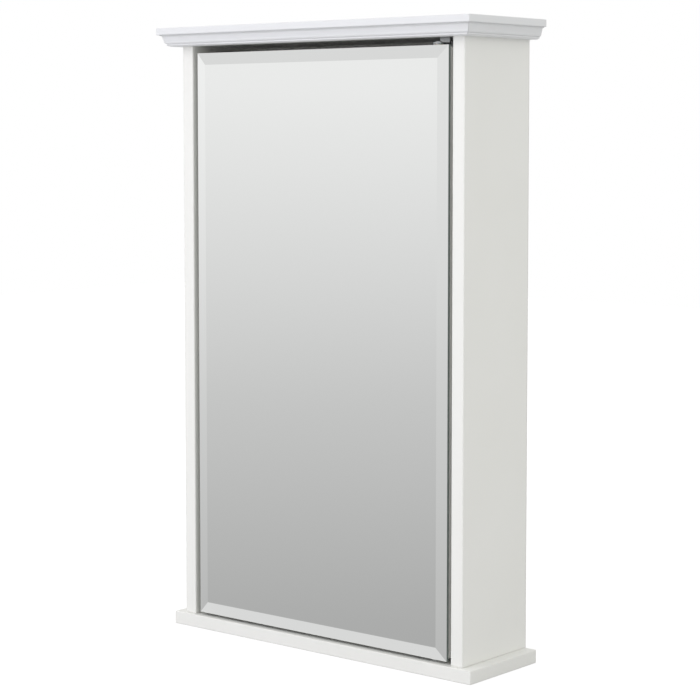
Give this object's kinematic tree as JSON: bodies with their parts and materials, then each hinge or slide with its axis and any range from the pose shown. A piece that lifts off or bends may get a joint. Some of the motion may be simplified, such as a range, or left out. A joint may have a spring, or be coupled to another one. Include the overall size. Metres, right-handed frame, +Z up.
{
  "type": "medicine cabinet",
  "caption": "Wall-hung medicine cabinet with a bevelled mirror door on pivot hinges, a moulded crown, a base board and loose shelves inside.",
  "frame": {"origin": "middle of the cabinet's outline, at the underside of the base board", "axes": "+X to the right as a user faces the mirror, +Y to the wall, +Z up"},
  "size_m": [0.425, 0.13, 0.66],
  "materials": {
    "painted_board": "satin white paint on fibreboard",
    "painted_crown": "satin white paint on fibreboard",
    "painted_rail": "satin white paint on fibreboard",
    "painted_shelf": "satin white paint on fibreboard",
    "painted_door": "satin white paint on fibreboard",
    "hardboard": "hardboard, white face inside",
    "beech": "bare beech",
    "mirror": "polished silvered glass",
    "zinc_plate": "bright zinc plate",
    "zinc_screw": "bright zinc plate",
    "nickel_steel": "nickel plate",
    "pole_steel": "ground steel poles",
    "white_plastic": "moulded, fine grain",
    "nylon": "natural nylon",
    "foam_tape": "closed-cell foam tape"
  },
  "bodies": {
    "cabinet": {"base_panel": "painted_board", "side_panel_left": "painted_board", "side_panel_right": "painted_board", "top_panel": "painted_board", "crown_cap": "painted_crown", "crown_moulding_front": "painted_crown", "crown_moulding_left": "painted_crown", "crown_moulding_right": "painted_crown", "back_panel": "hardboard", "mounting_rail_lower": "painted_rail", "mounting_rail_upper": "painted_rail", "shelf_lower": "painted_shelf", "shelf_upper": "painted_shelf", "shelf_pins": "nickel_steel", "base_dowels": "beech", "top_dowels": "beech", "base_screws": "zinc_screw", "top_screws": "zinc_screw", "cap_screws": "zinc_screw", "rail_screws": "zinc_screw", "back_panel_pins": "zinc_screw", "hinge_plate_top": "zinc_plate", "hinge_plate_bottom": "zinc_plate", "hinge_plate_screws": "zinc_screw", "catch_housing": "white_plastic", "catch_magnet": "pole_steel", "catch_screws": "zinc_screw"},
    "door": {"mirror_glass": "mirror", "door_panel": "painted_door", "mirror_tape": "foam_tape", "hinge_leaf_top": "zinc_plate", "hinge_leaf_bottom": "zinc_plate", "hinge_bushes": "nylon", "hinge_leaf_screws": "zinc_screw", "strike_plate": "zinc_plate", "strike_screw": "zinc_screw"}
  },
  "joints": [
    {"name": "door_hinge", "type": "hinge", "parent": "cabinet", "child": "door", "pos_m": [0.151, -0.0325, 0.32475], "axis": [0, 0, 1], "range_deg": [0, 110]}
  ]
}
